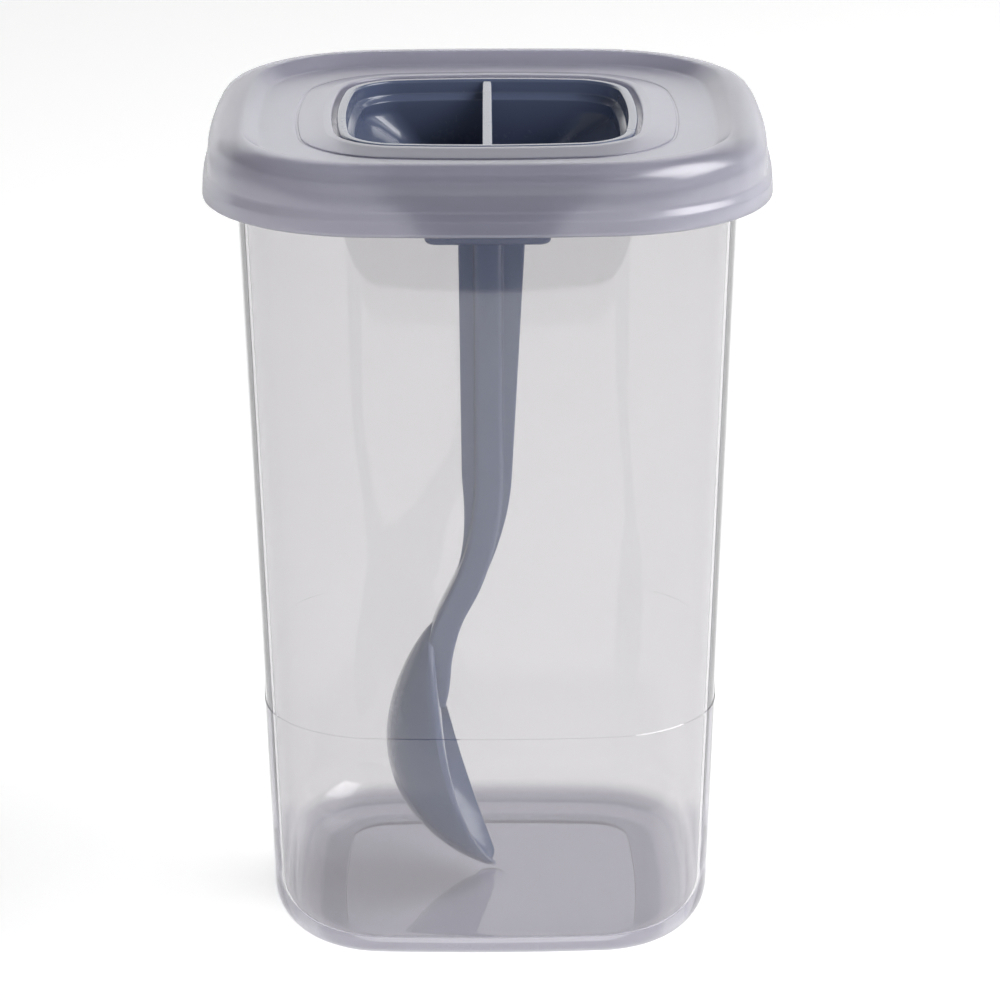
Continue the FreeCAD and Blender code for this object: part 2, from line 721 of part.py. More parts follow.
# The bowl is lofted through level slices. Each slice is an arc through both rim edges
# and the keel, closed by a straight line; its shares of the full size follow smooth curves.
def width_share(along):
    return math.sin(math.pi * along ** 1.27) ** 0.62


def depth_share(along):
    return math.sin(math.pi * along ** 1.357) ** 0.573


def rim_share(along):
    return 1 - along ** 2 - 0.16 * along ** 5


def mouth_share(along):
    # rounds off the upper end of the hollow, which starts below the neck
    short = max(0, (0.54 - along) / 0.21)
    return math.sqrt(1 - 0.92 * short ** 2)


def bowl_slice(name, along, inset=False):
    height = "Sizes.bowl_top - Sizes.bowl_length * %.5f" % along
    sketch = new_sketch(spoon, name, "XY_Plane", height)
    rim_text = "-Sizes.bowl_rim_top * %.5f" % rim_share(along)
    rim = -size("bowl_rim_top") * rim_share(along)
    half_text = "Sizes.bowl_half * %.5f" % width_share(along)
    half = size("bowl_half") * width_share(along)
    depth_text = "Sizes.bowl_depth * %.5f" % depth_share(along)
    depth = size("bowl_depth") * depth_share(along)
    if inset:
        share = mouth_share(along)
        half_text = "(%s - Sizes.bowl_rim_band) * %.5f" % (half_text, share)
        half = (half - size("bowl_rim_band")) * share
        depth_text = "(%s - Sizes.bowl_wall) * %.5f" % (depth_text, share)
        depth = (depth - size("bowl_wall")) * share
    round_text = "((%s)^2 + (%s)^2) / (2 * (%s))" % (half_text, depth_text, depth_text)
    radius = (half ** 2 + depth ** 2) / (2 * depth)
    spread = math.atan2(half, radius - depth)
    keel = rim - depth
    curve = arc(keel + radius, 0, radius, math.pi - spread, math.pi + spread)
    back = sketch.addGeometry(curve, False)
    mouth = rim + (size("bowl_reach") if inset else 0)
    edge = Part.LineSegment(Vector(mouth, -half, 0), Vector(mouth, half, 0))
    front = sketch.addGeometry(edge, False)
    constrain(sketch, "PointOnObject", back, 3, -1)
    constrain(sketch, "Vertical", front)
    if inset:
        for begin, end, side in ((2, 1, -half), (1, 2, half)):
            edge = Part.LineSegment(Vector(rim, side, 0), Vector(mouth, side, 0))
            cheek = sketch.addGeometry(edge, False)
            constrain(sketch, "Coincident", back, begin, cheek, 1)
            constrain(sketch, "Coincident", cheek, 2, front, end)
            constrain(sketch, "Horizontal", cheek)
        dimension(sketch, "DistanceX", back, 1, front, 2, "bowl_reach")
    else:
        constrain(sketch, "Coincident", back, 2, front, 1)
        constrain(sketch, "Coincident", front, 2, back, 1)
    for kind, args, number, text in (
        ("Radius", (back,), radius, round_text),
        ("DistanceX", (-1, 1, back, 1), rim, rim_text),
        ("DistanceY", (-1, 1, back, 1), half, half_text),
    ):
        index = sketch.addConstraint(Sketcher.Constraint(kind, *args, number))
        bind(sketch, "Constraints[%d]" % index, text)
    return sketch


def stations(first, last, count):
    # spread along the bowl, closer together at both ends
    spread = []
    for step in range(count):
        share = (1 - math.cos(math.pi * step / (count - 1))) / 2
        spread.append(first + (last - first) * share)
    return spread


shell = [bowl_slice("bowl_slice_%d" % (number + 1), along)
         for number, along in enumerate(stations(0.02, 0.998, 12))]
loft(spoon, "bowl", shell, ruled=False)
hollow = [bowl_slice("hollow_slice_%d" % (number + 1), along, inset=True)
          for number, along in enumerate(stations(0.33, 0.98, 9))]
loft(spoon, "bowl_hollow", hollow, cuts=True, ruled=False)

# Every piece must have been built whole before its file is written
doc.recompute()
for thing in doc.Objects:
    if "Invalid" in thing.State or "Error" in thing.State:
        raise ValueError("%s did not build" % thing.Label)
for body in (container, lid, stopper, spoon):
    shape = body.Shape
    if shape.isNull() or not shape.isValid() or len(shape.Solids) != 1:
        raise ValueError("%s is not one sound solid" % body.Label)
    shape.exportStep("parts/%s.step" % body.Label)
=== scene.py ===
import math

import bmesh
import bpy
from mathutils import Matrix, Vector


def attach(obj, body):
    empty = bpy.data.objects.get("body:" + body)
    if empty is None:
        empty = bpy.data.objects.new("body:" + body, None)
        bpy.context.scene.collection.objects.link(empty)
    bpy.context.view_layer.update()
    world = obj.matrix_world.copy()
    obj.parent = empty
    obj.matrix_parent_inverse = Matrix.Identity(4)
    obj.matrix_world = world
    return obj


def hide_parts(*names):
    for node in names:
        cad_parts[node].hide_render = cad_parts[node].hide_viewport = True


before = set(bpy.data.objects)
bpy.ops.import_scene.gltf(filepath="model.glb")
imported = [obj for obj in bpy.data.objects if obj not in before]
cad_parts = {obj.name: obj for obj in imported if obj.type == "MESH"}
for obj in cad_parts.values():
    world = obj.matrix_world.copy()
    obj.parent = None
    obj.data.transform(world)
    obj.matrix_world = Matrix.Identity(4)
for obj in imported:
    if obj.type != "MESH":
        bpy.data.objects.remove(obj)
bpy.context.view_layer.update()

mm = 0.001

# Outlines and skins

plan = {
    "rimHalf": 36.9,      # outer half width of the container at its rim
    "corner": 20.7,       # plan corner there
    "side": 250.0,        # bulge of the sides
    "holeHalf": 22.71,    # opening in the lid
    "holeCorner": 9.8,
    "holeSide": 115.0,
    "sideSteps": 9,       # points on half a side
    "cornerSteps": 17,
    "rounds": 40,         # in which the corners' centres settle
    "sameSpot": 1e-7,     # metres between points that are one
}


def mirrored(quarter):
    # full loop from the points between the +X and the +Y axis, both included
    loop = list(quarter)
    loop += [(-x, y) for x, y in reversed(quarter[:-1])]
    loop += [(-x, -y) for x, y in quarter[1:]]
    loop += [(x, -y) for x, y in reversed(quarter[1:-1])]
    return loop


def bulgedBox(halfX, halfY, corner, side):
    # four large side arcs and four corner arcs, tangent all round
    reachX = side - halfX
    reachY = side - halfY
    across = halfX - corner
    up = halfY - corner
    for i in range(plan["rounds"]):
        across = math.sqrt((side - corner) ** 2 - up ** 2) - reachX
        up = math.sqrt((side - corner) ** 2 - across ** 2) - reachY
    leanX = math.atan2(up, across + reachX)
    leanY = math.atan2(across, up + reachY)
    quarter = []
    for step in range(plan["sideSteps"]):
        a = leanX * step / plan["sideSteps"]
        quarter.append((side * math.cos(a) - reachX, side * math.sin(a)))
    for step in range(plan["cornerSteps"]):
        a = leanX + (math.pi / 2 - leanX - leanY) * step / (plan["cornerSteps"] - 1)
        quarter.append((across + corner * math.cos(a), up + corner * math.sin(a)))
    for step in range(1, plan["sideSteps"] + 1):
        a = leanY * (1 - step / plan["sideSteps"])
        quarter.append((side * math.sin(a), side * math.cos(a) - reachY))
    return mirrored(quarter)


def bulged(half):
    # the container's outline, moved in or out from its rim
    out = half - plan["rimHalf"]
    return bulgedBox(half, half, plan["corner"] + out, plan["side"] + out)


def opening(half):
    # the outline of the lid's opening, moved in or out
    out = half - plan["holeHalf"]
    return bulgedBox(half, half, plan["holeCorner"] + out, plan["holeSide"] + out)


def roundBox(halfX, halfY, corner):
    flatX = halfX - corner
    flatY = halfY - corner
    quarter = [(halfX, flatY * step / plan["sideSteps"]) for step in range(plan["sideSteps"])]
    for step in range(plan["cornerSteps"]):
        a = math.pi / 2 * step / (plan["cornerSteps"] - 1)
        quarter.append((flatX + corner * math.cos(a), flatY + corner * math.sin(a)))
    for step in range(1, plan["sideSteps"] + 1):
        quarter.append((flatX * (1 - step / plan["sideSteps"]), halfY))
    return mirrored(quarter)


def ring(radius):
    # a circle with as many points as the outlines, at the same bearings
    return [Vector(p).normalized() * radius for p in bulged(plan["rimHalf"])]


def rounded(points, closed=False, steps=6):
    # polyline with its corners rounded; a point is (across, up, radius)
    path = []
    count = len(points)
    for i, (x, y, radius) in enumerate(points):
        here = Vector((x, y))
        if radius == 0 or (not closed and i in (0, count - 1)):
            path.append(here)
            continue
        back = (Vector(points[i - 1][:2]) - here).normalized()
        ahead = (Vector(points[(i + 1) % count][:2]) - here).normalized()
        half = back.angle(ahead) / 2
        centre = here + (back + ahead).normalized() * (radius / math.sin(half))
        begin = here + back * (radius / math.tan(half)) - centre
        end = here + ahead * (radius / math.tan(half)) - centre
        sweep = begin.angle_signed(end)
        for step in range(steps + 1):
            path.append(centre + Matrix.Rotation(-sweep * step / steps, 2) @ begin)
    return path


def held(path, closed=False, gap=0.35):
    # adds a point close to each end of every long run, so that it stays flat when shaded smooth
    points = []
    for i, here in enumerate(path):
        points.append(here)
        if i + 1 == len(path) and not closed:
            break
        ahead = path[(i + 1) % len(path)]
        run = (ahead - here).length
        if run > 6 * gap:
            points += [here.lerp(ahead, gap / run), ahead.lerp(here, gap / run)]
    return points


def level(outline, height):
    return [Vector((x, y, height)) * mm for x, y in outline]


def skin(name, loops, closed=False, inside=None):
    # one mesh through a row of loops with equal numbers of points, capped unless it closes on itself
    count = len(loops[0])
    rows = len(loops)
    faces = []
    for r in range(rows if closed else rows - 1):
        a = r * count
        b = (r + 1) % rows * count
        for i in range(count):
            j = (i + 1) % count
            faces.append((a + i, a + j, b + j, b + i))
    if not closed:
        faces.append(tuple(range(count)))
        faces.append(tuple(range((rows - 1) * count, rows * count)))
    mesh = bpy.data.meshes.new(name)
    mesh.from_pydata([v for loop in loops for v in loop], [], faces)
    if inside:    # marks the loops that face inwards
        marks = mesh.attributes.new("inside", "FLOAT", "POINT")
        marks.data.foreach_set("value", [float(flag) for flag in inside for i in range(count)])
    work = bmesh.new()
    work.from_mesh(mesh)
    bmesh.ops.remove_doubles(work, verts=work.verts, dist=plan["sameSpot"])
    bmesh.ops.recalc_face_normals(work, faces=work.faces)
    work.to_mesh(mesh)
    work.free()
    piece = bpy.data.objects.new(name, mesh)
    bpy.context.scene.collection.objects.link(piece)
    return piece


def smooth(piece, angle):
    piece.data.shade_smooth()
    piece.data.set_sharp_from_angle(angle=math.radians(angle))


def joined(name, pieces):
    work = bmesh.new()
    for piece in pieces:
        work.from_mesh(piece.data)
        bpy.data.objects.remove(piece)
    mesh = bpy.data.meshes.new(name)
    work.to_mesh(mesh)
    work.free()
    whole = bpy.data.objects.new(name, mesh)
    bpy.context.scene.collection.objects.link(whole)
    return whole


# Container

container = {
    "height": 122.3,
    "baseHalf": 32.85,
    "wall": 1.4,
    "footInner": 22.35,     # inner edge of the ring that it stands on
    "footLift": 0.8,
    "footRound": 0.38,
    "floorTop": 2.4,
    "floorLap": 3.0,        # how far the section runs inside that ring
    "baseRound": 7.8,
    "flangeHalf": 38.6,
    "flangeBottom": 120.8,
    "flangeRound": 0.4,
    "rimRound": 0.5,
    "lineHeight": 37.0,     # faint step round the wall
    "lineStep": 0.12,
    "lineRise": 0.1,
    "gateRadius": 2.3,      # moulding mark under the base
    "gateDepth": 0.3,
    "gateBevel": 0.15,
    "roundSteps": 12,
    "sharpFrom": 40,        # degrees
}


def buildContainer(c):
    draft = (plan["rimHalf"] - c["baseHalf"]) / c["height"]
    innerFloor = c["baseHalf"] + draft * c["floorTop"] - c["wall"]
    above = c["baseHalf"] - c["lineStep"]
    middle = c["footInner"] - c["floorLap"]
    section = held(rounded([
        (middle, c["footLift"], 0),
        (c["footInner"], c["footLift"], c["footRound"]),
        (c["footInner"], 0, c["footRound"]),
        (c["baseHalf"], 0, c["baseRound"]),
        (c["baseHalf"] + draft * c["lineHeight"], c["lineHeight"] - c["lineRise"], 0),
        (above + draft * c["lineHeight"], c["lineHeight"], 0),
        (above + draft * c["flangeBottom"], c["flangeBottom"], c["flangeRound"]),
        (c["flangeHalf"], c["flangeBottom"], c["flangeRound"]),
        (c["flangeHalf"], c["height"], c["rimRound"]),
        (plan["rimHalf"] - c["wall"], c["height"], c["flangeRound"]),
        (innerFloor, c["floorTop"], c["baseRound"] - c["wall"]),
        (middle, c["floorTop"], 0),
    ], steps=c["roundSteps"]))
    gateTop = c["footLift"] + c["gateDepth"]
    loops = [
        level(ring(c["gateRadius"] - c["gateBevel"]), gateTop),
        level(ring(c["gateRadius"]), gateTop - c["gateBevel"]),
        level(ring(c["gateRadius"]), c["footLift"]),
    ]
    loops += [level(bulged(p.x), p.y) for p in section]
    shell = skin("containerShell", loops)
    smooth(shell, c["sharpFrom"])
    return shell


containerShell = buildContainer(container)
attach(containerShell, "container")
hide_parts("container")
containerShell.visible_shadow = False     # clear walls let the lamps through
print("container skinned")

# Lid

lid = {
    "half": 41.5,
    "wall": 1.2,
    "lipBottom": 113.95,
    "lipHeight": 3.4,
    "flare": 0.95,           # how far the lip stands out of the skirt
    "lipShoulder": (0.2, 0.68, 0.9),    # inset as a share of the flare, share of the height, rounding
    "lipBlend": 1.1,
    "lipEdge": 0.6,
    "lipBend": (1.6, 0.6),   # inner bend below the top of the lip, its start and end
    "skirtLean": 0.2,
    "shoulderRound": 3.9,
    "crest": 123.5,
    "crestRound": 1.3,
    "panel": 121.85,
    "recessHalf": 33.3,
    "recessRun": 2.3,
    "roof": 122.3,
    "roofRound": 0.5,
    "plugOuter": 35.0,
    "plugBottom": 117.1,
    "collarHalf": 27.6,
    "collarStep": (0.15, 0.12),         # height of the collar's edge and its rounding
    "collarTop": 122.55,
    "collarFlat": 1.25,
    "groove": [(0.02, 0.12, 0.08), (0.3, 0.12, 0.1), (0.45, 0, 0.15)],    # out, down, rounding
    "seatTop": 118.28,
    "seatHalf": 21.21,
    "seatRound": 0.2,
    "edgeRound": 0.3,
    "foldRound": 0.4,
    "near": 0.1,             # slack when the hidden faces are picked
    "sharpFrom": 40,
}


def lidSection(c):
    skirt = c["half"] - c["flare"]
    lipTop = c["lipBottom"] + c["lipHeight"]
    lipInner = c["half"] - c["wall"]
    inner = skirt - c["wall"]
    plugInner = c["plugOuter"] - c["wall"]
    sleeve = plan["holeHalf"] + c["wall"]
    under = c["panel"] - c["wall"]
    inset, share, shoulder = c["lipShoulder"]
    edge, fold = c["edgeRound"], c["foldRound"]
    return held(rounded([
        (c["seatHalf"], c["seatTop"] - c["wall"], c["seatRound"]),
        (c["seatHalf"], c["seatTop"], c["seatRound"]),
        (plan["holeHalf"], c["seatTop"], c["seatRound"]),
        (plan["holeHalf"], c["collarTop"], edge),
        (plan["holeHalf"] + c["collarFlat"], c["collarTop"], fold),
        (c["collarHalf"], c["panel"] + c["collarStep"][0], c["collarStep"][1]),
        *[(c["collarHalf"] + out, c["panel"] - down, radius) for out, down, radius in c["groove"]],
        (c["recessHalf"], c["panel"], c["crestRound"]),
        (c["recessHalf"] + c["recessRun"], c["crest"], c["crestRound"]),
        (skirt + c["skirtLean"], c["crest"], c["shoulderRound"]),
        (skirt, lipTop, c["lipBlend"]),
        (c["half"] - inset * c["flare"], c["lipBottom"] + share * c["lipHeight"], shoulder),
        (c["half"], c["lipBottom"], c["lipEdge"]),
        (lipInner, c["lipBottom"], edge),
        (lipInner, lipTop - c["lipBend"][0], edge),
        (inner, lipTop - c["lipBend"][1], edge),
        (inner, c["roof"], c["roofRound"]),
        (c["plugOuter"], c["roof"], edge),
        (c["plugOuter"], c["plugBottom"], fold),
        (plugInner, c["plugBottom"], fold),
        (plugInner, under, fold),
        (sleeve, under, fold),
        (sleeve, c["seatTop"] - c["wall"], edge),
    ], closed=True), closed=True)


def hiddenFaces(c, section):
    # the undersides: below the panel, inside the lip and between skirt and plug ring
    lipTop = c["lipBottom"] + c["lipHeight"]
    inner = c["half"] - c["flare"] - c["wall"] + c["near"]
    flags = []
    for p in section:
        below = p.y < c["panel"] - c["wall"] / 2 and p.x < inner
        lip = p.y < lipTop and p.x < c["half"] - c["wall"] + c["near"]
        channel = p.y < c["roof"] + c["near"] and c["plugOuter"] - c["near"] < p.x < inner
        flags.append(below or lip or channel)
    return flags


def buildLid(c):
    section = lidSection(c)
    middle = (c["collarHalf"] + c["recessHalf"]) / 2
    loops = [level(bulged(p.x) if p.x > middle else opening(p.x), p.y) for p in section]
    shell = skin("lidShell", loops, closed=True, inside=hiddenFaces(c, section))
    smooth(shell, c["sharpFrom"])
    return shell


lidShell = buildLid(lid)
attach(lidShell, "lid")
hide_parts("lid")
print("lid skinned")

# Stopper

stopper = {
    "half": 21.99,
    "corner": 9.08,
    "side": 114.28,
    "top": 122.38,
    "rimRound": 0.4,
    "bandWall": 1.45,
    "bandFloor": 120.28,
    "stepBottom": 119.58,
    "stepRound": 0.25,
    "seat": 118.28,
    "seatRound": 0.3,
    "ledgeRound": 0.2,
    "outerHalf": 20.86,
    "cupWall": 1.5,
    "rampTop": 117.98,
    "rampRound": 1.0,
    "floor": 109.98,
    "floorHalf": 9.9,
    "floorRound": 1.6,
    "floorLap": 2.5,         # how far the section runs in over the floor
    "floorCorner": 1.8,
    "bottomCorner": 2.5,
    "webThickness": 1.5,
    "webTop": 122.18,
    "webRound": 0.35,
    "bossHalf": 9.35,
    "bossDepth": 3.2,
    "bossBottom": 102.71,
    "bossCorner": 1.2,
    "bossRound": 0.9,
    "bossSteps": 6,
    "weld": 0.7,             # how far web and boss run into the floor
    "sharpFrom": 35,
}


def buildCup(c):
    cupHalf = c["outerHalf"] - c["cupWall"]
    bandHalf = c["half"] - c["bandWall"]
    slope = (c["rampTop"] - c["floor"]) / (cupHalf - c["floorHalf"])
    sheer = c["cupWall"] * math.sqrt(1 + slope ** 2)    # upright thickness of a ramp
    bottom = c["floor"] - c["cupWall"]
    bottomHalf = c["floorHalf"] + (sheer - c["cupWall"]) / slope
    rimMiddle = (c["half"] - c["bandWall"] / 2, c["top"], 0)
    inside = held(rounded([
        (c["floorHalf"] - c["floorLap"], c["floor"], 0),
        (c["floorHalf"], c["floor"], c["floorRound"]),
        (cupHalf, c["rampTop"], c["rampRound"]),
        (cupHalf, c["stepBottom"], c["stepRound"]),
        (bandHalf, c["bandFloor"], c["rimRound"]),
        (bandHalf, c["top"], c["rimRound"]),
        rimMiddle,
    ]))
    outside = held(rounded([
        rimMiddle,
        (c["half"], c["top"], c["rimRound"]),
        (c["half"], c["seat"], c["seatRound"]),
        (c["outerHalf"], c["seat"], c["ledgeRound"]),
        (c["outerHalf"], c["rampTop"] - sheer + c["cupWall"] * slope, c["rampRound"]),
        (bottomHalf, bottom, c["floorRound"]),
        (bottomHalf - c["floorLap"], bottom, 0),
    ]))
    loops = []
    for path, straight, least in ((inside, cupHalf, c["floorCorner"]),
                                  (outside[1:], c["outerHalf"], c["bottomCorner"])):
        for p in path:
            corner = c["corner"] - c["half"] + max(p.x, straight)
            if p.x < straight:    # the ramps narrow the cup in X only
                share = max((p.x - c["floorHalf"]) / (straight - c["floorHalf"]), 0)
                corner = least + (corner - least) * share
            side = c["side"] - c["half"] + max(p.x, straight)
            loops.append(level(bulgedBox(p.x, max(p.x, straight), corner, side), p.y))
    return skin("cup", loops)


def buildWeb(c):
    half = c["webThickness"] / 2
    foot = c["floor"] - c["weld"]
    edge = rounded([
        (half, foot, 0),
        (half, c["webTop"], c["webRound"]),
        (-half, c["webTop"], c["webRound"]),
        (-half, foot, 0),
    ])
    reach = (c["half"] - c["bandWall"] + c["outerHalf"]) / 2    # ends inside the cup's wall
    return skin("web", [[Vector((p.x, y, p.y)) * mm for p in edge] for y in (-reach, reach)])


def buildBoss(c):
    tower = []
    for step in range(c["bossSteps"] + 1):
        a = math.pi / 2 * step / c["bossSteps"]
        inset = c["bossRound"] * (1 - math.sin(a))
        outline = roundBox(c["bossHalf"] - inset, c["bossDepth"] - inset, c["bossCorner"])
        tower.append(level(outline, c["bossBottom"] + c["bossRound"] * (1 - math.cos(a))))
    outline = roundBox(c["bossHalf"], c["bossDepth"], c["bossCorner"])
    tower.append(level(outline, c["floor"] - c["weld"]))
    return skin("boss", tower)


def buildStopper(c):
    whole = joined("stopperGrip", [buildCup(c), buildWeb(c), buildBoss(c)])
    smooth(whole, c["sharpFrom"])
    return whole


stopperGrip = buildStopper(stopper)
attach(stopperGrip, "scoop")
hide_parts("stopper")
print("stopper skinned")

# Spoon

spoon = {
    "top": 102.71,
    "straightSteps": 12,
    "bendStart": 66.18,
    "neckRadius": 44.0,
    "neckTurn": 22.0,         # degrees
    "bendSteps": 16,
    "coreHalf": 2.1,
    "coreDepth": 2.5,
    "coreRound": 0.8,
    "finHalf": 0.7,
    "finRound": 0.3,
    "finLeft": (4.4, 4.1),    # reach at the top and at the bend
    "finRight": (5.5, 3.45),
    "finFade": 16.0,
    "finEase": 0.35,          # how softly the fins start to run out
    "finLeast": 0.02,
    "sectionSteps": 4,        # points on each rounding of the section
    "neckLead": 0.75,         # share of the bend that gives the neck its first slope
    "neckEnd": 29.85,         # where the hollow cuts it off
    "neckSteps": 40,
    "neckUpright": 12,        # steps in which its section turns level
    "bowlTop": 43.0,
    "bowlTip": 3.0,
    "bowlHalf": 12.8,
    "bowlDepth": 10.0,
    "bowlWall": 1.3,
    "bowlSteps": 72,
    "bowlRun": (0.004, 0.993),     # start and length of its loops, as shares of the bowl
    "arcSteps": 24,
    "halfCurve": (1.27, 0.62),     # where the width peaks and how full it is
    "depthCurve": (1.357, 0.573),
    "rimBand": 1.4,
    "rimTop": 8.4,
    "rimCurl": 0.16,
    "rimRound": 1.0,
    "mouthTop": 0.33,         # where the hollow starts, as a share of the bowl
    "mouthRun": 0.21,         # and the length over which its end is round
    "mouthRound": 0.92,
    "mouthCrisp": (0, 0.0005, 0.004),    # extra loops there
    "mouthFlat": 0.002,       # depth left above it
    "bluntStart": 0.965,      # where the tip turns blunt, and by how much
    "bluntRun": 0.032,
    "bluntDepth": 1.55,
    "bluntCurve": 1.6,
    "sharpFrom": 35,
}
neckCuts = [                  # below the bend: height, middle, half width, half depth
    (43.0, -6.4, 2.2, 2.6),
    (38.0, -7.6, 2.0, 2.85),
    (32.3, -7.82, 1.58, 2.75),
    (28.5, -8.15, 0.95, 2.6),
]


def handleLoop(c, centre, across, half, depth, left, right):
    # plus-shaped section: the core's rounded box with a fin on each side
    fold = min(c["finRound"], (right - half) * 0.45, (left - half) * 0.45)
    edge = min(c["coreRound"], half * 0.42)
    fin = c["finHalf"]
    corners = []
    for way, reach in ((1, right), (-1, left)):
        corners += [
            (way * reach, -way * fin, fold), (way * reach, way * fin, fold),
            (way * half, way * fin, fold), (way * half, way * depth, edge),
            (-way * half, way * depth, edge), (-way * half, way * fin, fold),
        ]
    loop = []
    for p in rounded(corners, closed=True, steps=c["sectionSteps"]):
        spot = centre + across * p.x
        loop.append(Vector((spot.x, p.y, spot.y)) * mm)
    return loop


def eased(cuts, z, k):
    # smooth value of column k at height z, from rows that run downwards
    for i in range(len(cuts) - 1):
        if cuts[i][0] >= z >= cuts[i + 1][0]:
            break
    rows = [cuts[max(i - 1, 0)], cuts[i], cuts[i + 1], cuts[min(i + 2, len(cuts) - 1)]]
    gap = rows[2][0] - rows[1][0]
    t = (z - rows[1][0]) / gap
    out = (rows[2][k] - rows[0][k]) / (rows[2][0] - rows[0][0]) * gap
    into = (rows[3][k] - rows[1][k]) / (rows[3][0] - rows[1][0]) * gap
    return (rows[1][k] * (2 * t ** 3 - 3 * t ** 2 + 1) + out * (t ** 3 - 2 * t ** 2 + t)
            + rows[2][k] * (3 * t ** 2 - 2 * t ** 3) + into * (t ** 3 - t ** 2))


def bendSpot(c, a):
    # across and height of the handle's middle where it has turned by a
    return c["neckRadius"] * (math.cos(a) - 1), c["bendStart"] - c["neckRadius"] * math.sin(a)


def ribbedLoops(c, turnEnd):
    stations = []
    for step in range(c["straightSteps"] + 1):
        share = step / c["straightSteps"]
        z = c["top"] + (c["bendStart"] - c["top"]) * share
        stations.append((Vector((0, z)), Vector((1, 0)), share, 0))
    for step in range(1, c["bendSteps"] + 1):
        a = turnEnd * step / c["bendSteps"]
        spot = Vector(bendSpot(c, a))
        drop = (c["bendStart"] - spot.y) / c["finFade"]
        stations.append((spot, Vector((math.cos(a), -math.sin(a))), 1, min(drop, 1)))
    loops = []
    for spot, across, share, fade in stations:
        fade = fade * fade * (3 - 2 * fade) * c["finEase"] + fade * (1 - c["finEase"])
        reach = []
        for top, low in (c["finLeft"], c["finRight"]):
            full = top + (low - top) * share
            reach.append(max(full + (c["coreHalf"] - full) * fade, c["coreHalf"] + c["finLeast"]))
        loops.append(handleLoop(c, spot, across, c["coreHalf"], c["coreDepth"], *reach))
    return loops


def neckLoops(c, turnEnd):
    neck = Vector(bendSpot(c, turnEnd))
    above = bendSpot(c, turnEnd * c["neckLead"])
    core = (c["coreHalf"], c["coreDepth"])
    cuts = [(above[1], above[0], *core), (neck.y, neck.x, *core)] + neckCuts
    across = Vector((math.cos(turnEnd), -math.sin(turnEnd)))
    loops = []
    for step in range(1, c["neckSteps"] + 1):
        z = neck.y + (c["neckEnd"] - neck.y) * step / c["neckSteps"]
        middle, half, depth = [eased(cuts, z, k) for k in (1, 2, 3)]
        tilt = across.lerp(Vector((1, 0)), min(step / c["neckUpright"], 1)).normalized()
        reach = half + c["finLeast"]
        loops.append(handleLoop(c, Vector((middle, z)), tilt, half, depth, reach, reach))
    return loops


def bowlLoop(c, u):
    # level section at the share u of the bowl: the outer arc with a rounded rim, then the hollow's arc
    z = c["bowlTop"] - (c["bowlTop"] - c["bowlTip"]) * u
    half = c["bowlHalf"] * math.sin(math.pi * u ** c["halfCurve"][0]) ** c["halfCurve"][1]
    depth = c["bowlDepth"] * math.sin(math.pi * u ** c["depthCurve"][0]) ** c["depthCurve"][1]
    rim = -c["rimTop"] * (1 - u ** 2 - c["rimCurl"] * u ** 5)
    short = min(max((c["mouthTop"] + c["mouthRun"] - u) / c["mouthRun"], 0), 1)
    share = math.sqrt(1 - c["mouthRound"] * short ** 2)       # rounds the hollow's upper end
    innerHalf = max((half - c["rimBand"]) * share, half * 0.12)
    innerDepth = max((depth - c["bowlWall"]) * share, depth * 0.04)
    if u <= c["mouthTop"]:
        innerDepth = c["mouthFlat"]
    blunt = max((u - c["bluntStart"]) / c["bluntRun"], 0)
    bend = min(c["bluntDepth"] * blunt ** c["bluntCurve"], 0.6 * depth)
    rim -= bend
    depth -= bend
    innerDepth = min(innerDepth, depth * 0.8)
    edge = min(c["rimRound"], 0.4 * depth, 0.6 * (half - innerHalf))
    loop = []
    for w, d, lip in ((half, depth, edge), (innerHalf, innerDepth, 0)):
        radius = (w * w + d * d) / (2 * d)
        spread = math.acos((radius - d + lip) / radius)
        points = []
        for i in range(c["arcSteps"] + 1):
            a = math.pi - spread + 2 * spread * i / c["arcSteps"]
            points.append((rim - d + radius + radius * math.cos(a), radius * math.sin(a)))
        if lip:
            across = abs(points[0][1])
            turn = [(rim - lip + lip * math.sin(a), across - 0.9 * lip * (1 - math.cos(a)))
                    for a in (math.pi / 6, math.pi / 3, math.pi / 2)]
            points = turn[::-1] + points + [(x, -y) for x, y in turn]
        else:
            points.reverse()
        loop += [Vector((x, y, z)) * mm for x, y in points]
    return loop


def buildSpoon(c):
    turnEnd = math.radians(c["neckTurn"])
    handle = skin("handle", ribbedLoops(c, turnEnd) + neckLoops(c, turnEnd))
    start, run = c["bowlRun"]
    spots = [start + run * (1 - math.cos(math.pi * step / c["bowlSteps"])) / 2
             for step in range(c["bowlSteps"] + 1)]
    spots += [c["mouthTop"] + after for after in c["mouthCrisp"]]
    bowl = skin("bowl", [bowlLoop(c, u) for u in sorted(spots)])
    whole = joined("spoonScoop", [handle, bowl])
    smooth(whole, c["sharpFrom"])
    return whole


spoonScoop = buildSpoon(spoon)
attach(spoonScoop, "scoop")
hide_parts("spoon")
print("spoon skinned")

# Materials


